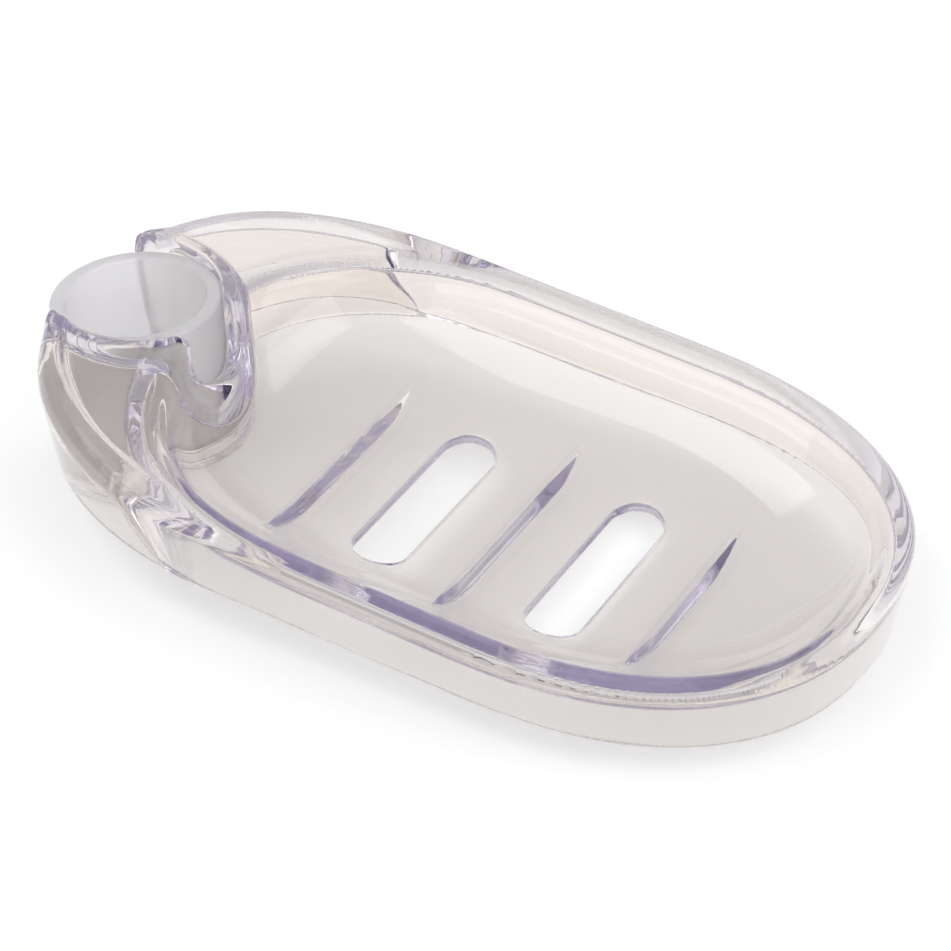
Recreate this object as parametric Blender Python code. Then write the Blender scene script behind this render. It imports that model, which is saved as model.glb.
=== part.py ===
"""Clear oval soap dish with a snap-on collar for a 25 mm or 22 mm shower riser rail.

Two mouldings: the clear dish body and the frosted reducing sleeve that lines its collar.
The body is drawn in the basin's own frame (millimetres: X from the rail towards the nose, Y across,
Z up, with the flat underside of the basin at Z = 0) and then set down on its collar foot and nose,
which tips the nose down by a few degrees. World units are metres, +Z up.
"""

import math

import bpy
import numpy as np
from mathutils import Matrix, Vector

MM = 0.001

# --- driving dimensions, mm ---------------------------------------------------------------------
FLOOR_T = 2.2  # basin floor and wall thickness
RIM_Z = 17.7  # top of the rim above the underside of the basin
SKIRT_Z = 5.3  # lower edge of the outer skirt, at X = 60
SKIRT_SLOPE = 0.016  # the skirt's lower edge rises a little towards the nose
SKIRT_T = 2.2
LIP_R = 1.7  # rounding of the rim's outer edge
LIP_IN = 5.6  # from the outer face to where the basin wall starts

HALF_W = 41.6  # half width of the rim
NOSE_X, NOSE_A, NOSE_N = 80.0, 49.8, 2.25  # nose: half a superellipse
TAIL_X, TAIL_A, TAIL_N = 40.0, 49.9, 2.15  # collar end of the outer outline
LOOP_X, LOOP_A, LOOP_N = 55.0, 46.8, 2.35  # collar end of the basin's own loop
FLOOR_W = 15.0  # half width of the flat floor
FLOOR_NOSE_X, FLOOR_NOSE_A = 78.0, 25.5
FLOOR_TAIL_X, FLOOR_TAIL_A = 45.0, 25.0
WALL_N = 1.5  # section of the basin's wall, a superellipse

RAIL_TILT = 0.1233  # slope of the rail's axis against the basin's normal
SLEEVE_TOP_Z = 18.15  # where the sleeve's top meets the rail's axis
COLLAR_R = 16.2
BORE_R = 13.8
LEDGE_R = 11.8
COLLAR_TOP_Z = 20.1  # the collar's top is parallel to the basin's underside, not square to the rail
SLEEVE_R = 13.5
RAIL_R = 11.1  # bore of the sleeve: a 22 mm rail with running clearance
SLEEVE_L = 22.0
SEAT_GAP = 0.3
COLLAR_FOOT_X = 2.9  # the foot of the collar and the nose stand on one plane
COLLAR_FOOT_Z = -5.7
MOUTH_HALF = 12.3
NOTCH_HALF = 6.4
NOTCH_DOWN = 13.0  # bottom of the notch below the sleeve's top

RECESS_Z = 19.0  # shoulder recess, at X = 0
RECESS_SLOPE = -0.065
SHOULDER_LIP = 4.8
WING_T = 2.3

SLOT_X, SLOT_PITCH = 53.64, 29.81
SLOT_HALF_W, SLOT_HALF_L = 4.38, 17.6
RIB_T = 1.1
RIB_TOP = 2.7  # above the floor
RIB_HALF = (21.1, 23.5, 21.2)

AROUND = 44  # points on half a loop
TURN = 64  # sides of the round parts


# --- plan curves --------------------------------------------------------------------------------
def power(value, n):
    return math.copysign(abs(value) ** n, value)


def oval(tail_x, tail_a, tail_n, nose_x, nose_a, nose_n, half_w, around=AROUND):
    """Closed loop, counter-clockwise from the nose tip, with that many points on each half."""
    half = []
    n_nose, n_side = around * 2 // 5, around // 5
    n_tail = around - n_nose - n_side
    for i in range(n_nose):
        t = 0.5 * math.pi * i / n_nose
        half.append((nose_x + nose_a * power(math.cos(t), 2 / nose_n), half_w * power(math.sin(t), 2 / nose_n)))
    for i in range(n_side):
        half.append((nose_x + (tail_x - nose_x) * i / n_side, half_w))
    for i in range(n_tail + 1):
        t = 0.5 * math.pi * i / n_tail
        half.append((tail_x - tail_a * power(math.sin(t), 2 / tail_n), half_w * power(math.cos(t), 2 / tail_n)))
    half[-1] = (tail_x - tail_a, 0.0)
    other = [(x, -y) for x, y in reversed(half[1:-1])]
    return np.array(half + other)


def inset(loop, distance):
    """The loop moved in by distance (a number, or one for each point) along its normals."""
    step = np.roll(loop, -1, axis=0) - np.roll(loop, 1, axis=0)
    step /= np.linalg.norm(step, axis=1)[:, None]
    inward = np.stack([-step[:, 1], step[:, 0]], 1)
    return loop + inward * np.broadcast_to(np.asarray(distance, float), len(loop))[:, None]


def smooth(value):
    value = np.clip(value, 0.0, 1.0)
    return value * value * (3 - 2 * value)


def rim_z(x):
    """Top of the basin's rim: level, and a little higher where it runs up to the collar."""
    return RIM_Z + 1.8 * smooth((28 - np.asarray(x, float)) / 18)


def shoulder_z(x):
    """Top of the outer lip of the shoulders, which climbs to the top of the collar."""
    return RIM_Z - 0.4 + 3.4 * smooth((38 - np.asarray(x, float)) / 38)


def skirt_z(x):
    return SKIRT_Z + SKIRT_SLOPE * (np.asarray(x, float) - 60)


def draft(x, z):
    """How far the outer face has drawn in at height z."""
    most = 2.2 - 1.4 * np.clip((x - 90) / 35, 0, 1)
    return most * np.clip((16.0 - z) / (16.0 - SKIRT_Z), 0, 1.2)


# --- meshes -------------------------------------------------------------------------------------
def mesh_object(name, points, faces):
    mesh = bpy.data.meshes.new(name)
    mesh.from_pydata([tuple(float(c) * MM for c in p) for p in points], [], faces)
    mesh.update()
    obj = bpy.data.objects.new(name, mesh)
    bpy.context.scene.collection.objects.link(obj)
    return obj


def split(a, b, c, d):
    """Two flat triangles for a four-sided face that may be warped."""
    return [(a, b, c), (a, c, d)]


def loft(name, rings):
    """Closed solid through rings of equal length, each counter-clockwise from above, first to last upwards on the outside."""
    count = len(rings[0])
    points = [tuple(p) for ring in rings for p in ring]
    faces = []
    for k in range(len(rings) - 1):
        for i in range(count):
            j = (i + 1) % count
            faces += split(k * count + i, k * count + j, (k + 1) * count + j, (k + 1) * count + i)
    faces.append(tuple(reversed(range(count))))
    last = (len(rings) - 1) * count
    faces.append(tuple(range(last, last + count)))
    return mesh_object(name, points, faces)


def ring(plan, z):
    z = np.broadcast_to(np.asarray(z, float), len(plan))
    return np.column_stack([plan, z])


def turned(name, profile, base=Vector((0, 0, 0))):
    """Solid of revolution about Z from a closed (r, z) profile, counter-clockwise in the r-z plane."""
    count = len(profile)
    points, faces = [], []
    for i in range(TURN):
        a = 2 * math.pi * i / TURN
        points += [(r * math.cos(a) + base[0], r * math.sin(a) + base[1], z + base[2]) for r, z in profile]
    for i in range(TURN):
        j = (i + 1) % TURN
        for k in range(count):
            m = (k + 1) % count
            faces.append((i * count + k, j * count + k, j * count + m, i * count + m))
    return mesh_object(name, points, faces)


def cylinder(name, r, low, high):
    return loft(name, [ring(circle(r), low), ring(circle(r), high)])


def circle(r):
    a = 2 * np.pi * np.arange(TURN) / TURN
    return np.column_stack([r * np.cos(a), r * np.sin(a)])


def box(name, low, high):
    (a, b, c), (d, e, f) = low, high
    plan = np.array([(a, b), (d, b), (d, e), (a, e)], float)
    return loft(name, [ring(plan, c), ring(plan, f)])


def along_rail(obj):
    """Turns an object drawn on Z, with Z = 0 at the sleeve's top, onto the rail's axis."""
    turn = Matrix.Rotation(-math.atan(RAIL_TILT), 4, "Y")
    obj.matrix_world = Matrix.Translation((0, 0, SLEEVE_TOP_Z * MM)) @ turn


def helper(obj):
    obj.hide_render = True
    obj.display_type = "WIRE"
    return obj


def boolean(obj, other, operation):
    modifier = obj.modifiers.new(operation.title() + "_" + other.name, "BOOLEAN")
    modifier.operation = operation
    modifier.solver = "EXACT"
    modifier.object = other
    return helper(other)


def material(name, colour, roughness, transmission, alpha=1.0):
    made = bpy.data.materials.new(name)
    made.use_nodes = True
    shader = made.node_tree.nodes["Principled BSDF"]
    shader.inputs["Base Color"].default_value = (*colour, 1)
    shader.inputs["Roughness"].default_value = roughness
    shader.inputs["Metallic"].default_value = 0.0
    shader.inputs["Transmission Weight"].default_value = transmission
    shader.inputs["IOR"].default_value = 1.52
    made.diffuse_color = (*colour, alpha)
    return made


# --- the basin: rim, wall, floor and skirt in one loft -------------------------------------------
def wall_height(q):
    """Height of the basin's wall above the floor, as a share of its full height: 0 at the floor, 1 at the rim."""
    return 1 - (1 - q**WALL_N) ** (1 / WALL_N)


def basin():
    outer = oval(LOOP_X, LOOP_A, LOOP_N, NOSE_X, NOSE_A, NOSE_N, HALF_W)
    x = outer[:, 0]
    top = rim_z(x)
    lift = (top - FLOOR_T) / (RIM_Z - FLOOR_T)

    def high(z):
        return FLOOR_T + (z - FLOOR_T) * lift

    rings = []
    low = skirt_z(x)
    rings.append(ring(inset(outer, draft(x, low)), low))
    rings.append(ring(outer, high(16.0)))
    for angle in (30, 60, 90):
        a = math.radians(angle)
        rings.append(ring(inset(outer, LIP_R * (1 - math.cos(a))), high(RIM_Z - LIP_R * (1 - math.sin(a)))))
    rings.append(ring(inset(outer, 3.3), high(RIM_Z - 0.2)))
    rings.append(ring(inset(outer, 4.7), high(RIM_Z - 0.8)))
    edge = inset(outer, LIP_IN)
    floor = oval(FLOOR_TAIL_X, FLOOR_TAIL_A, 2.0, FLOOR_NOSE_X, FLOOR_NOSE_A, 2.3, FLOOR_W)
    run = edge - floor
    length = np.linalg.norm(run, axis=1)
    out = run / length[:, None]
    full = high(RIM_Z - 1.5) - FLOOR_T
    for q in (1.0, 0.96, 0.9, 0.8, 0.65, 0.5, 0.35, 0.2, 0.0):
        rings.append(ring(floor + q * run, FLOOR_T + full * wall_height(q)))
    under = []
    for q in (0.0, 0.2, 0.4, 0.6, 0.75, 0.88):
        d = 0.01
        slope = full * (wall_height(min(q + d, 1)) - wall_height(max(q - d, 0))) / (2 * d if q else d) / length
        tilt = np.arctan(slope) if q else np.zeros(len(x))
        plan = floor + q * run + out * (FLOOR_T * np.sin(tilt))[:, None]
        under.append(ring(plan, FLOOR_T + full * wall_height(q) - FLOOR_T * np.cos(tilt)))
    inner_top = inset(outer, SKIRT_T + draft(x, 11.5))
    under.append(ring(0.5 * (under[-1][:, :2] + inner_top), 12.4))
    under.append(ring(inner_top, 11.2))
    under.append(ring(inset(outer, SKIRT_T + draft(x, low)), low))
    # One closed skin: the upper side from the skirt's edge in to the floor, the lower side back out.
    count = len(outer)
    points, faces = [], []
    for loop in rings + under:
        points += [tuple(p) for p in loop]
    upper, total = len(rings), len(rings) + len(under)
    pairs = [(k, k + 1) for k in range(upper - 1)]
    pairs += [(k, k + 1) for k in range(upper, total - 1)] + [(total - 1, 0)]
    for a, b in pairs:
        for i in range(count):
            j = (i + 1) % count
            faces += split(a * count + i, a * count + j, b * count + j, b * count + i)
    faces.append(tuple((upper - 1) * count + i for i in range(count)))
    faces.append(tuple(upper * count + i for i in reversed(range(count))))
    return mesh_object("basin_shell", points, faces)


def tail_block():
    """Solid under the two shoulders and round the collar, before it is hollowed. Past the shoulders it hides in the basin's wall."""
    loop = oval(TAIL_X, TAIL_A, TAIL_N, NOSE_X, NOSE_A, NOSE_N, HALF_W, 49)
    x = loop[:, 0]
    tuck = 0.45 * smooth((x - 36) / 12)  # slips inside the basin's wall where the two run together
    low = skirt_z(x) + 0.4 * smooth((x - 36) / 12)
    top = shoulder_z(x) - 0.5 * smooth((x - 36) / 12)

    def plan(distance):
        return inset(loop, distance)

    rings = [
        ring(plan(8.0), 4.0),
        ring(plan(tuck + draft(x, low)), low),
        ring(plan(tuck), top - LIP_R),
        ring(plan(tuck + 0.23), top - 0.85),
        ring(plan(tuck + 0.85), top - 0.23),
        ring(plan(tuck + LIP_R), top),
        ring(plan(6.5), top),
        ring(plan(9.0), 20.4),
    ]
    return loft("dish_body", rings)


def plan_prism(name, tail, nose, distance, low, high, around, low_slope=0.0, high_slope=0.0, drafted=False):
    """Prism on one of the plan curves. Each one has its own number of points, so that no edges fall on one another."""
    loop = oval(*tail, *nose, HALF_W, around)
    x = loop[:, 0]
    rings = []
    for level, slope in ((low, low_slope), (high, high_slope)):
        z = level + slope * x
        d = distance + (draft(x, z) if drafted else 0.0)
        rings.append(ring(inset(loop, d), z))
    return loft(name, rings)


def stadium(x, half_w, half_l):
    points = []
    for i in range(17):
        a = math.pi * i / 16
        points.append((x + half_w * math.cos(a), half_l - half_w + half_w * math.sin(a)))
    for i in range(17):
        a = math.pi + math.pi * i / 16
        points.append((x + half_w * math.cos(a), -(half_l - half_w) + half_w * math.sin(a)))
    return np.array(points)


def notch_prism():
    """U-shaped slot through the collar's front, along X."""
    points = [(NOTCH_HALF, 12.0)]
    for i in range(13):
        a = math.pi * i / 12
        points.append((NOTCH_HALF * math.cos(a), -NOTCH_DOWN + NOTCH_HALF - NOTCH_HALF * math.sin(a)))
    points.append((-NOTCH_HALF, 12.0))
    points.reverse()
    count = len(points)
    verts = [(4.0, y, z) for y, z in points] + [(24.0, y, z) for y, z in points]
    faces = [(i, (i + 1) % count, count + (i + 1) % count, count + i) for i in range(count)]
    faces += [tuple(reversed(range(count))), tuple(range(count, 2 * count))]
    return mesh_object("notch_cut", verts, faces)


def rib_bar(name, x, half):
    """Thin upright rib with a level top, rooted in the floor and in the wall at both ends."""
    side = [(half - 6.0, 1.2), (half + 1.0, 3.7), (half + 1.0, FLOOR_T + RIB_TOP)]
    outline = side + [(-y, z) for y, z in reversed(side)]
    count = len(outline)
    verts = [(x - RIB_T / 2, y, z) for y, z in outline] + [(x + RIB_T / 2, y, z) for y, z in outline]
    faces = [(i, (i + 1) % count, count + (i + 1) % count, count + i) for i in range(count)]
    faces += [tuple(reversed(range(count))), tuple(range(count, 2 * count))]
    return mesh_object(name, verts, faces)


def facing_out(obj):
    """Turns every face outwards and says nothing if they already are."""
    import bmesh

    work = bmesh.new()
    work.from_mesh(obj.data)
    bmesh.ops.recalc_face_normals(work, faces=work.faces)
    work.to_mesh(obj.data)
    work.free()
    return obj


def build():
    for obj in list(bpy.data.objects):
        bpy.data.objects.remove(obj, do_unlink=True)

    clear = material("clear_plastic", (0.86, 0.86, 0.87), 0.04, 1.0, 0.35)
    frosted = material("frosted_plastic", (0.80, 0.80, 0.83), 0.45, 0.7, 0.8)

    body = facing_out(tail_block())
    nose = (NOSE_X, NOSE_A, NOSE_N)
    tail = (TAIL_X, TAIL_A, TAIL_N)
    whole = (LOOP_X, LOOP_A, LOOP_N)
    recess = plan_prism("recess_cut", tail, nose, SHOULDER_LIP, RECESS_Z, 40.0, 51, RECESS_SLOPE)
    hollow = plan_prism("hollow_cut", tail, nose, SKIRT_T, -20.0, RECESS_Z - WING_T, 47, 0.0, RECESS_SLOPE, True)
    through = plan_prism("basin_room_cut", whole, nose, 1.1, -20.0, 40.0, 53, drafted=True)
    for cutter in (recess, hollow, through):
        boolean(body, facing_out(cutter), "DIFFERENCE")
    shell = facing_out(basin())
    boolean(body, shell, "UNION")

    foot_slope = -COLLAR_FOOT_Z / (FLOOR_NOSE_X + FLOOR_NOSE_A - COLLAR_FOOT_X)
    rest = math.atan(foot_slope)

    # The collar: a tube on the rail's axis, kept inside the outer outline, level on top and cut off at the resting plane.
    collar = cylinder("collar_tube", COLLAR_R, -34.0, 8.0)
    along_rail(facing_out(collar))
    foot = COLLAR_FOOT_Z - foot_slope * COLLAR_FOOT_X
    bounds = plan_prism("collar_bounds", tail, (60.0, 20.0, 2.0), 0.15, foot, COLLAR_TOP_Z, 41, foot_slope)
    boolean(collar, facing_out(bounds), "INTERSECT")
    boolean(body, collar, "UNION")

    ledge_up = -(SLEEVE_L + SEAT_GAP)
    bore = cylinder("bore_cut", BORE_R, ledge_up, 30.0)
    rail = cylinder("rail_way_cut", LEDGE_R, -60.0, ledge_up + 2.0)
    mouth = box("mouth_cut", (-40, -MOUTH_HALF, -60), (-2.0, MOUTH_HALF, 30))
    low_mouth = box("low_mouth_cut", (-40, -LEDGE_R + 0.8, -60), (0.0, LEDGE_R - 0.8, ledge_up + 1.0))
    notch = notch_prism()
    for cutter in (bore, rail, mouth, low_mouth, notch):
        along_rail(facing_out(cutter))
        boolean(body, cutter, "DIFFERENCE")

    for index, half in enumerate(RIB_HALF):
        x = SLOT_X + (index - 0.5) * SLOT_PITCH
        boolean(body, facing_out(rib_bar("rib_%d" % (index + 1), x, half)), "UNION")
    for index in range(2):
        slot = stadium(SLOT_X + index * SLOT_PITCH, SLOT_HALF_W, SLOT_HALF_L)
        cut = loft("slot_%d_cut" % (index + 1), [ring(slot, -3.0), ring(slot, 9.0)])
        boolean(body, facing_out(cut), "DIFFERENCE")
    body.data.materials.append(clear)

    # The sleeve: a plain ring with broken edges, standing on the ledge at the foot of the bore.
    c = 0.5
    profile = [
        (RAIL_R, -SLEEVE_L + c),
        (RAIL_R + c, -SLEEVE_L),
        (SLEEVE_R - c, -SLEEVE_L),
        (SLEEVE_R, -SLEEVE_L + c),
        (SLEEVE_R, -c),
        (SLEEVE_R - c, 0.0),
        (RAIL_R + c, 0.0),
        (RAIL_R, -c),
    ]
    sleeve = facing_out(turned("rail_sleeve", profile))
    along_rail(sleeve)
    sleeve.data.materials.append(frosted)
    for obj in (body, sleeve):
        obj.data.shade_smooth()
        obj.data.set_sharp_from_angle(angle=math.radians(35))

    # Set down: nose and collar foot on Z = 0, and X = 0 at the middle of the length.
    stand = bpy.data.objects.new("stand", None)
    bpy.context.scene.collection.objects.link(stand)
    for obj in list(bpy.data.objects):
        if obj is not stand:
            obj.parent = stand
    turn = Matrix.Rotation(rest, 4, "Y")
    lowest = min((turn @ v.co).z for v in shell.data.vertices)
    stand.matrix_world = Matrix.Translation((-LENGTH_MID * MM, 0, -lowest)) @ turn


LENGTH_MID = 59.045  # middle of the standing length, from the rail's axis at the underside

build()
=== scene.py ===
import math

import bpy
import numpy as np
from mathutils import Matrix, Vector


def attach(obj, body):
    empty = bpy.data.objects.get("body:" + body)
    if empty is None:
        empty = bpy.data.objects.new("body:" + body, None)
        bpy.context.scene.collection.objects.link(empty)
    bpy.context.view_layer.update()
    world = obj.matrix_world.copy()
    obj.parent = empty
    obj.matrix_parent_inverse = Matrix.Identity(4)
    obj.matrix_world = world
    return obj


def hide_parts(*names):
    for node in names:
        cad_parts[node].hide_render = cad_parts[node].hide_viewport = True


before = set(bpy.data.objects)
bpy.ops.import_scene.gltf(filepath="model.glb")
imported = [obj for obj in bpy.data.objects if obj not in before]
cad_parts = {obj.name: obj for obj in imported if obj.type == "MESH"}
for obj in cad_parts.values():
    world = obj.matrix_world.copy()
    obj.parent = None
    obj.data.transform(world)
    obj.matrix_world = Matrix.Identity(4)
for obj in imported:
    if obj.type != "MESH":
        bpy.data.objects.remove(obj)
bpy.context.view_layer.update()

MM = 0.001

# The basin's own frame, in mm: X from the rail's axis to the nose, Y across, Z up from the flat underside of the basin.
# REST sets that frame down on the collar's foot and the nose, as the CAD model stands.
REST_SLOPE = 5.7 / 100.6
REST = Matrix.Translation((-59.045 * MM, 0, 5.855 * MM)) @ Matrix.Rotation(math.atan(REST_SLOPE), 4, "Y")

HALF_W = 41.6
FLOOR = 2.2
RIM = 17.7
WALL = 2.2
TILT = math.atan(0.1233)
SIN_T, COS_T = math.sin(TILT), math.cos(TILT)
TOP_Z = 18.15
SLOTS = (53.64, 83.45)
RIBS = ((38.74, 21.1), (68.55, 23.5), (98.35, 21.2))


# --- small field helpers: negative is inside -----------------------------------------------------
def smooth(v):
    v = np.clip(v, 0.0, 1.0)
    return v * v * (3 - 2 * v)


def smin(a, b, k):
    h = np.maximum(k - np.abs(a - b), 0.0) / k
    return np.minimum(a, b) - h * h * k * 0.25


def smax(a, b, k):
    return -smin(-a, -b, k)


def round_max(a, b, r):
    """Where two solids meet in an edge, that edge with the radius r."""
    return np.minimum(np.maximum(a, b), -r) + np.hypot(np.maximum(a + r, 0.0), np.maximum(b + r, 0.0))


# --- plan curves ----------------------------------------------------------------------------------
def half_width(x, tail, nose):
    x = np.asarray(x, float)
    out = np.full(x.shape, HALF_W)
    for (centre, a, n), sign in ((tail, -1), (nose, 1)):
        u = np.clip((x - centre) * sign / a, 0, 1)
        out = np.minimum(out, HALF_W * (1 - u**n) ** (1 / n))
    inside = (x > tail[0] - tail[1]) & (x < nose[0] + nose[1])
    return np.where(inside, out, -1.0)


def half_curve(tail, nose, steps=150):
    t = np.linspace(0, 0.5 * np.pi, steps)
    c, s = np.cos(t), np.sin(t)
    (x0, a0, n0), (x1, a1, n1) = tail, nose
    back = np.column_stack([x0 - a0 * c ** (2 / n0), HALF_W * s ** (2 / n0)])
    front = np.column_stack([x1 + a1 * c[::-1] ** (2 / n1), HALF_W * s[::-1] ** (2 / n1)])
    return np.concatenate([back, front])


def distance_to(curve, x, y):
    best = np.full(x.shape, 1e9)
    for (ax, ay), (bx, by) in zip(curve[:-1], curve[1:]):
        dx, dy = bx - ax, by - ay
        length = dx * dx + dy * dy
        if length < 1e-12:
            continue
        t = np.clip(((x - ax) * dx + (y - ay) * dy) / length, 0, 1)
        best = np.minimum(best, (x - ax - t * dx) ** 2 + (y - ay - t * dy) ** 2)
    return np.sqrt(best)


NOSE = (80.0, 49.8, 2.25)
TAIL = (40.0, 49.4, 2.15)
LOOP = (55.0, 46.8, 2.35)
GX0, GX1, GY1, GH = -18.0, 134.0, 46.0, 0.25
gx = np.arange(GX0, GX1 + GH / 2, GH)
gy = np.arange(0.0, GY1 + GH / 2, GH)
PX, PY = np.meshgrid(gx, gy, indexing="ij")


def signed(tail):
    d = distance_to(half_curve(tail, NOSE), PX, PY)
    return np.where(PY < half_width(PX, tail, NOSE), d, -d)


D1 = signed(TAIL)
D2 = signed(LOOP)


def look(table, x, y):
    u = np.clip((x - GX0) / GH, 0, table.shape[0] - 1.001)
    v = np.clip(np.abs(y) / GH, 0, table.shape[1] - 1.001)
    i, j = u.astype(np.int32), v.astype(np.int32)
    u, v = u - i, v - j
    return (table[i, j] * (1 - u) + table[i + 1, j] * u) * (1 - v) + (table[i, j + 1] * (1 - u) + table[i + 1, j + 1] * u) * v


def deck_z(x):
    return 19.0 - 0.065 * x


def rim_z(x):
    """Top of the rim, which runs on between the shoulders as a low ridge."""
    return -smin(-(deck_z(x) + 0.45), np.full_like(x, -RIM), 0.5)


def shoulder_z(x):
    return RIM + 3.0 * smooth((38 - x) / 38)


# --- the basin's upper surface as a height over the plan --------------------------------------------
EDGE, RUN, LIP_R, CROWN, JOIN = 5.6, 22.0, 4.4, 1.8, 5.95
FX, FK, FKX = 24.0, 14.0 / 36.0, 78.0 / 110.4


def reach(x, y):
    """0 on the flat floor, 1 at the foot of the lip: where the point lies between the floor's outline and the lip's."""
    shift = FX - FKX * 13.8
    low, high = np.zeros(x.shape), np.ones(x.shape)
    for _ in range(22):
        q = 0.5 * (low + high)
        ex = (x - (1 - q) * shift) / (FKX + q * (1 - FKX))
        ey = y / (FK + q * (1 - FK))
        beyond = (look(D2, ex, ey) < EDGE) | (np.abs(ey) > GY1) | (ex < GX0) | (ex > GX1)
        low, high = np.where(beyond, q, low), np.where(beyond, high, q)
    return 0.5 * (low + high)


def rise(q):
    q = np.clip(q, 0, 1)
    return 1 - (1 - q**1.5) ** (2 / 3)


def heights():
    q = reach(PX, PY)
    top = rim_z(PX)
    along = np.where(D2 > EDGE, EDGE + (1 - q) * RUN, D2)
    step = np.clip(along - CROWN, 0, JOIN - CROWN)
    lip = top - LIP_R + np.sqrt(LIP_R**2 - step**2)
    drop = LIP_R - math.sqrt(LIP_R**2 - (JOIN - CROWN) ** 2)
    full = rise(np.array(1 - (JOIN - EDGE) / RUN))
    wall = FLOOR + (top - drop - FLOOR) * rise((EDGE + RUN - along) / RUN) / full
    basin = np.where(along < JOIN, lip, wall)
    # outside the basin: outer lip, sunk facet, and the soft outer side of the ridge
    deck = deck_z(PX)
    share = smooth((D2 + 1.0) / 2.8)
    edge = shoulder_z(PX) * (1 - share) + top * share
    width = 3.8 + 1.4 * np.clip(PX / 28, 0, 1)
    outer = deck + (edge - deck) * smooth((width - D1) / 0.5 + 0.5)
    ridge = deck + (top - deck) * smooth((D2 + 0.9) / 2.7)
    return np.where(D2 > CROWN, basin, smax(outer, ridge, 0.3))


def soften(table, times):
    for _ in range(times):
        for axis in (0, 1):
            pad = np.concatenate([table[:1], table, table[-1:]], 0) if axis == 0 else np.concatenate([table[:, 1:2], table, table[:, -1:]], 1)
            table = 0.25 * (pad[:-2] + 2 * pad[1:-1] + pad[2:]) if axis == 0 else 0.25 * (pad[:, :-2] + 2 * pad[:, 1:-1] + pad[:, 2:])
    return table


TOP = soften(heights(), 3)
SLOPE = 1 / np.sqrt(1 + sum(g**2 for g in np.gradient(TOP, GH)))
SLOPE = soften(SLOPE, 2)
LOW = soften(TOP - WALL / SLOPE, 60)


def plan_at(x, y):
    return look(D1, x, y), look(D2, x, y), look(TOP, x, y), look(SLOPE, x, y), look(LOW, x, y)


def body(x, y, z, plan):
    d1, d2, top, slope, low = plan
    draft = (2.2 - 1.4 * np.clip((x - 90) / 35, 0, 1)) * np.clip((16.0 - z) / 10.7, 0, 1.2)
    face = d1 - draft
    bowl = (z - top) * slope
    skirt = 5.3 + 0.016 * (x - 60) - z
    deck = deck_z(x)
    s = -SIN_T * x + COS_T * (z - TOP_Z)
    forward = COS_T * x + SIN_T * (z - TOP_Z)
    radius = np.hypot(forward, y)

    # underside: bowl and shoulders are one wall thick, over the skirt and the wall under the ridge
    share = smooth((d2 - 0.3) / 1.4)
    lower = -(z - deck + 2.0) * (1 - share) - (z - low) * slope * share
    taper = np.clip((z - 5) / 9, 0, 1)
    wall = np.maximum(face - 1.1 - 0.7 * taper, skirt)
    # the hollow of each shoulder closes on a slant where skirt and ridge wall run together
    between = smin(0.9 - d2, 1.6 * (d1 - d2 - 3.2 - 0.22 * (z - 5)), 1.6)
    ridge = np.maximum(np.maximum(between, d2 - 1.9 - 0.2 * taper), skirt)
    inner = smin(smin(lower, wall, 1.4), ridge, 1.0)
    outer = round_max(bowl, -face, 0.3 + (1.4 + 1.9 * smooth((34 - x) / 25)) * smooth((z - 8) / 5))
    solid = smax(outer, inner, 0.5)

    # collar, with the same outer face as the skirt
    foot = (REST_SLOPE * (x - 2.9) - 5.7 - z) * 0.998
    collar = round_max(radius - 16.2, z - 20.1, 1.3)
    collar = smax(collar, foot, 0.4)
    collar = round_max(collar, -face, 0.8)
    solid = smin(solid, collar, 1.5)

    # bore, open jaws, notch
    bore = np.minimum(np.maximum(radius - 13.65, -22.3 - s), radius - 11.9)
    mouth = np.maximum(forward + 3.0, np.abs(y) - 11.4)
    sunk_s = s + 4.8
    notch = np.where(sunk_s < 0, np.hypot(y, sunk_s), np.abs(y)) - 6.2
    notch = np.maximum(notch, np.maximum(6.0 - forward, forward - 30))
    solid = round_max(solid, -bore, 0.5)
    solid = round_max(solid, -mouth, 0.9)
    solid = round_max(solid, -notch, 1.2)

    # ribs and drain slots
    for rib, half in RIBS:
        fin = smax((np.abs(x - rib) - 0.35 - 0.42 * (4.9 - z)) * 0.92, z - 4.9, 0.3)
        fin = np.maximum(np.maximum(fin, -(bowl + 1.2)), np.abs(y) - half - 3.0)
        solid = smin(solid, fin, 0.5)
    for slot in SLOTS:
        hole = np.hypot(np.maximum(np.abs(y) - 13.22, 0), x - slot) - 4.38
        solid = round_max(solid, -np.maximum(hole, z - 9), 0.45)
    return solid


# --- meshing ---------------------------------------------------------------------------------------
def joined(field):
    """Fills the few grid points between two solid ones that only touch across a diagonal, so that no edge has four faces."""
    for _ in range(12):
        inside = field < 0
        fill = np.zeros_like(inside)
        for a, b in ((0, 1), (0, 2), (1, 2)):
            corner = {}
            for i in (0, 1):
                for j in (0, 1):
                    cut = [slice(None)] * 3
                    cut[a] = slice(i, inside.shape[a] - 1 + i)
                    cut[b] = slice(j, inside.shape[b] - 1 + j)
                    corner[i, j] = tuple(cut)
            for one, two, gap, other in (((0, 0), (1, 1), (1, 0), (0, 1)), ((1, 0), (0, 1), (0, 0), (1, 1))):
                touch = inside[corner[one]] & inside[corner[two]] & ~inside[corner[gap]] & ~inside[corner[other]]
                fill[corner[gap]] |= touch
                fill[corner[other]] |= touch
        if not fill.any():
            break
        field = np.where(fill, -0.02, field)
    return field


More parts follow.
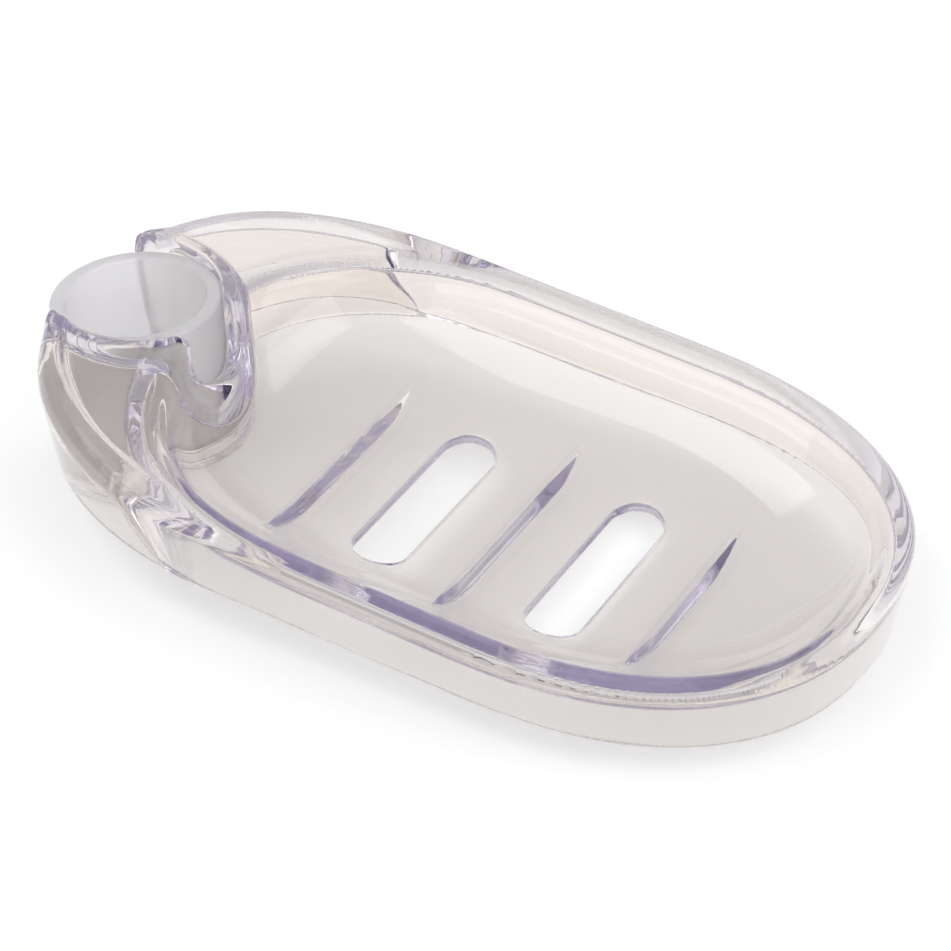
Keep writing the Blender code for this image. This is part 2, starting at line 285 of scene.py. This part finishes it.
def surface(step):
    """The body's surface as points and four-sided faces, on a grid of that step."""
    xs = np.arange(-14.0, 131.5, step)
    ys = np.arange(0.0, 43.5, step)
    zs = np.arange(-9.0, 24.5, step)
    X, Y = np.meshgrid(xs, ys, indexing="ij")
    plan = [p[:, :, None].astype(np.float32) for p in plan_at(X, Y)]
    f32 = np.float32
    half = body(X[:, :, None].astype(f32), Y[:, :, None].astype(f32), zs[None, None, :].astype(f32), plan)
    field = joined(np.concatenate([half[:, :0:-1], half], 1))
    ys = np.concatenate([-ys[:0:-1], ys])
    inside = field < 0
    corners = [inside[a : a - 1 or None, b : b - 1 or None, c : c - 1 or None] for a in (0, 1) for b in (0, 1) for c in (0, 1)]
    some, every = np.zeros_like(corners[0]), np.ones_like(corners[0])
    for c in corners:
        some |= c
        every &= c
    active = some & ~every
    number = np.full(active.shape, -1, np.int64)
    number[active] = np.arange(active.sum())
    ci, cj, ck = np.nonzero(active)
    total, hits = np.zeros((len(ci), 3)), np.zeros(len(ci))
    ends = [(a, b, c) for a in (0, 1) for b in (0, 1) for c in (0, 1)]
    for e in ends:
        for axis in range(3):
            if e[axis]:
                continue
            f = list(e)
            f[axis] = 1
            va = field[ci + e[0], cj + e[1], ck + e[2]]
            vb = field[ci + f[0], cj + f[1], ck + f[2]]
            cross = (va < 0) != (vb < 0)
            t = np.where(cross, va / np.where(va == vb, 1, va - vb), 0)
            for k in range(3):
                total[:, k] += np.where(cross, e[k] + (t if k == axis else 0), 0)
            hits += cross
    total /= hits[:, None]
    points = np.column_stack([xs[ci], ys[cj], zs[ck]]) + total * step
    faces = []
    for axis in range(3):
        u, v = (axis + 1) % 3, (axis + 2) % 3
        one = [slice(None)] * 3
        two = [slice(None)] * 3
        one[axis], two[axis] = slice(0, -1), slice(1, None)
        a, b = inside[tuple(one)], inside[tuple(two)]
        change = np.argwhere(a != b)
        change = change[(change[:, u] > 0) & (change[:, v] > 0) & (change[:, u] < inside.shape[u] - 1) & (change[:, v] < inside.shape[v] - 1)]
        leaving = a[tuple(change.T)]
        ring = []
        for du, dv in ((-1, -1), (0, -1), (0, 0), (-1, 0)):
            cell = change.copy()
            cell[:, u] += du
            cell[:, v] += dv
            ring.append(number[tuple(cell.T)])
        quad = np.stack(ring, 1)
        faces.append(np.where(leaving[:, None], quad, quad[:, ::-1]))
    return points, np.concatenate(faces)


def settle(points, rounds=3):
    """Moves the points on to the surface, and returns its normals there."""
    d = 0.02
    for turn in range(rounds + 1):
        x, y, z = points.T
        grad = []
        for k in range(3):
            pair = []
            for sign in (1, -1):
                q = [x, y, z]
                q[k] = q[k] + sign * d
                pair.append(body(*q, plan_at(q[0], q[1])))
            grad.append((pair[0] - pair[1]) / (2 * d))
        grad = np.stack(grad, 1)
        size = np.sum(grad**2, 1)
        if turn == rounds:
            return points, grad / np.sqrt(np.maximum(size, 1e-9))[:, None]
        value = body(x, y, z, plan_at(x, y))
        step = np.clip(value / np.maximum(size, 0.2), -0.2, 0.2)
        points = points - grad * step[:, None]


def relax(points, faces, rounds):
    """Evens the spacing of the points: each goes part of the way to the middle of its neighbours."""
    for _ in range(rounds):
        total, count = np.zeros_like(points), np.zeros(len(points))
        for a, b in ((0, 1), (1, 2), (2, 3), (3, 0)):
            for p, q in ((faces[:, a], faces[:, b]), (faces[:, b], faces[:, a])):
                count += np.bincount(p, minlength=len(points))
                for k in range(3):
                    total[:, k] += np.bincount(p, weights=points[q, k], minlength=len(points))
        points = points + 0.35 * (total / count[:, None] - points)
    return points


def make_mesh(name, points, faces):
    mesh = bpy.data.meshes.new(name)
    mesh.vertices.add(len(points))
    mesh.vertices.foreach_set("co", (points * MM).astype(np.float32).ravel())
    mesh.loops.add(faces.size)
    mesh.loops.foreach_set("vertex_index", faces.astype(np.int32).ravel())
    mesh.polygons.add(len(faces))
    mesh.polygons.foreach_set("loop_start", np.arange(0, faces.size, faces.shape[1], dtype=np.int32))
    mesh.update(calc_edges=True)
    mesh.validate()
    mesh.shade_smooth()
    obj = bpy.data.objects.new(name, mesh)
    bpy.context.scene.collection.objects.link(obj)
    return obj


def place(obj, matrix):
    obj.data.transform(matrix)
    return obj


STEP = 0.5
points, faces = surface(STEP)
points = relax(points, faces, 2)
points, normals = settle(points)
dish = place(make_mesh("clear_dish", points, faces), REST)


def ring_mesh(name, outline, turns=160):
    """Turned solid about Z from a closed (r, z) outline."""
    outline = np.array(outline)
    a = 2 * np.pi * np.arange(turns) / turns
    r, z = outline[:, 0][None, :], outline[:, 1][None, :]
    pts = np.stack([r * np.cos(a)[:, None], r * np.sin(a)[:, None], np.broadcast_to(z, (turns, len(outline)))], 2).reshape(-1, 3)
    n = len(outline)
    i, k = np.meshgrid(np.arange(turns), np.arange(n), indexing="ij")
    j, m = (i + 1) % turns, (k + 1) % n
    quads = np.stack([i * n + k, j * n + k, j * n + m, i * n + m], 2).reshape(-1, 4)
    return make_mesh(name, pts, quads)


def rounded_box(r0, r1, z0, z1, r, steps=6):
    out = []
    for cx, cz, start in ((r1 - r, z0 + r, -0.5), (r1 - r, z1 - r, 0.0), (r0 + r, z1 - r, 0.5), (r0 + r, z0 + r, 1.0)):
        for k in range(steps + 1):
            t = math.pi * (start + 0.5 * k / steps)
            out.append((cx + r * math.cos(t), cz + r * math.sin(t)))
    return out


RAIL = Matrix.Translation((0, 0, TOP_Z * MM)) @ Matrix.Rotation(-TILT, 4, "Y")
sleeve = place(ring_mesh("frosted_sleeve", rounded_box(11.1, 13.5, -22.0, 0.0, 0.55)), REST @ RAIL)


# --- materials -------------------------------------------------------------------------------------
def new_material(name):
    made = bpy.data.materials.new(name)
    made.use_nodes = True
    tree = made.node_tree
    return made, tree, tree.nodes["Principled BSDF"]


def noise(tree, scale, detail=3.0):
    coord = tree.nodes.new("ShaderNodeTexCoord")
    tex = tree.nodes.new("ShaderNodeTexNoise")
    tex.inputs["Scale"].default_value = scale
    tex.inputs["Detail"].default_value = detail
    tree.links.new(coord.outputs["Object"], tex.inputs["Vector"])
    return tex


def ranged(tree, value, low, high, a=0.3, b=0.7):
    node = tree.nodes.new("ShaderNodeMapRange")
    node.inputs["From Min"].default_value, node.inputs["From Max"].default_value = a, b
    node.inputs["To Min"].default_value, node.inputs["To Max"].default_value = low, high
    tree.links.new(value, node.inputs["Value"])
    return node.outputs["Result"]


clear, tree, shader = new_material("clear_plastic")
shader.inputs["Base Color"].default_value = (0.94, 0.914, 0.878, 1)
shader.inputs["Transmission Weight"].default_value = 1.0
shader.inputs["IOR"].default_value = 1.49
tree.links.new(ranged(tree, noise(tree, 60).outputs["Fac"], 0.015, 0.05), shader.inputs["Roughness"])
# The faint violet of the plastic shows only where light runs a long way in it: in the rim, the ribs and at the edges.
depth = tree.nodes.new("ShaderNodeVolumeAbsorption")
depth.inputs["Color"].default_value = (0.48, 0.42, 0.66, 1)
depth.inputs["Density"].default_value = 20.0
tree.links.new(depth.outputs[0], tree.nodes["Material Output"].inputs["Volume"])

frost, tree, shader = new_material("frosted_plastic")
shader.inputs["Base Color"].default_value = (0.99, 0.98, 0.99, 1)
shader.inputs["Transmission Weight"].default_value = 0.62
shader.inputs["IOR"].default_value = 1.49
tree.links.new(ranged(tree, noise(tree, 90).outputs["Fac"], 0.34, 0.42), shader.inputs["Roughness"])

for obj, made, node, group, slot in (
    (dish, clear, "dish_body", "dish", "clear_plastic"),
    (sleeve, frost, "rail_sleeve", "sleeve", "frosted_plastic"),
):
    obj.data.materials.append(made)
    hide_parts(node)
    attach(obj, group)

# --- camera ------------------------------------------------------------------------------------------
azimuth, elevation, roll = (math.radians(v) for v in (26.7487, 39.1725, 4.7903))
back = Vector((math.sin(azimuth) * math.cos(elevation), -math.cos(azimuth) * math.cos(elevation), math.sin(elevation)))
right = Vector((math.cos(azimuth), math.sin(azimuth), 0))
up = back.cross(right)
axis_x = math.cos(roll) * right + math.sin(roll) * up
axis_y = -math.sin(roll) * right + math.cos(roll) * up
target = Vector((59.8282, 3.7506, 7.2)) * MM
view = Matrix((axis_x, axis_y, back)).transposed().to_4x4()
view.translation = target + back * 547.0991 * MM
lens = bpy.data.cameras.new("camera")
lens.sensor_width = 36.0
lens.lens = 135.35
lens.clip_start = 0.01
lens.shift_x, lens.shift_y = (475.5 - 476.47) / 951 * -1, (475.82 - 475.5) / 951 * -1
camera = bpy.data.objects.new("camera", lens)
bpy.context.scene.collection.objects.link(camera)
camera.matrix_world = REST @ view
bpy.context.scene.camera = camera

# --- stage and light ------------------------------------------------------------------------------------
bpy.ops.mesh.primitive_circle_add(vertices=96, radius=1.5, fill_type="NGON", location=(0, 0, -0.0004))
floor = bpy.context.object
floor.name = "pale_floor"
paper = bpy.data.materials.new("paper")
paper.use_nodes = True
tree = paper.node_tree
tree.nodes.clear()
matt = tree.nodes.new("ShaderNodeBsdfDiffuse")
matt.inputs["Color"].default_value = (0.8, 0.8, 0.8, 1)
glow = tree.nodes.new("ShaderNodeEmission")
glow.inputs["Color"].default_value = (1, 1, 1, 1)
glow.inputs["Strength"].default_value = 0.3
total = tree.nodes.new("ShaderNodeAddShader")
done = tree.nodes.new("ShaderNodeOutputMaterial")
tree.links.new(matt.outputs[0], total.inputs[0])
tree.links.new(glow.outputs[0], total.inputs[1])
tree.links.new(total.outputs[0], done.inputs["Surface"])
floor.data.materials.append(paper)

world = bpy.data.worlds.new("studio")
bpy.context.scene.world = world
world.use_nodes = True
tree = world.node_tree
tree.nodes.clear()
coord = tree.nodes.new("ShaderNodeTexCoord")
split = tree.nodes.new("ShaderNodeSeparateXYZ")
tree.links.new(coord.outputs["Generated"], split.inputs[0])
ramp = tree.nodes.new("ShaderNodeValToRGB")
tree.links.new(split.outputs["Z"], ramp.inputs["Fac"])
stops = ((0.0, (0.33, 0.325, 0.355)), (0.16, (0.42, 0.415, 0.45)), (0.4, (0.68, 0.67, 0.70)), (1.0, (0.8, 0.8, 0.8)))
for k, (at, colour) in enumerate(stops):
    element = ramp.color_ramp.elements[k] if k < 2 else ramp.color_ramp.elements.new(at)
    element.position, element.color = at, (*colour, 1)
dome = tree.nodes.new("ShaderNodeBackground")
tree.links.new(ramp.outputs["Color"], dome.inputs["Color"])
done = tree.nodes.new("ShaderNodeOutputWorld")
tree.links.new(dome.outputs[0], done.inputs["Surface"])


def softbox(name, towards, distance, width, height, radiance, colour=(1, 1, 1)):
    """Area light seen from the object in that direction, facing it."""
    data = bpy.data.lights.new(name, "AREA")
    data.shape = "RECTANGLE"
    data.size, data.size_y = width, height
    data.energy = radiance * math.pi * width * height
    data.color = colour
    obj = bpy.data.objects.new(name, data)
    bpy.context.scene.collection.objects.link(obj)
    where = Vector(towards).normalized()
    obj.location = where * distance
    obj.rotation_euler = where.to_track_quat("Z", "Y").to_euler()
    return obj


softbox("soft_low", (-0.35, -0.90, 0.42), 1.0, 1.2, 0.28, 1.4)
softbox("soft_high", (-0.30, -0.40, 0.90), 1.0, 1.2, 0.35, 1.35)
softbox("soft_side", (0.80, -0.04, 0.56), 1.0, 0.8, 0.8, 1.5)

cycles = bpy.context.scene.cycles
cycles.max_bounces, cycles.diffuse_bounces, cycles.glossy_bounces, cycles.transmission_bounces = 64, 12, 64, 64
bpy.context.scene.view_settings.view_transform = "Standard"
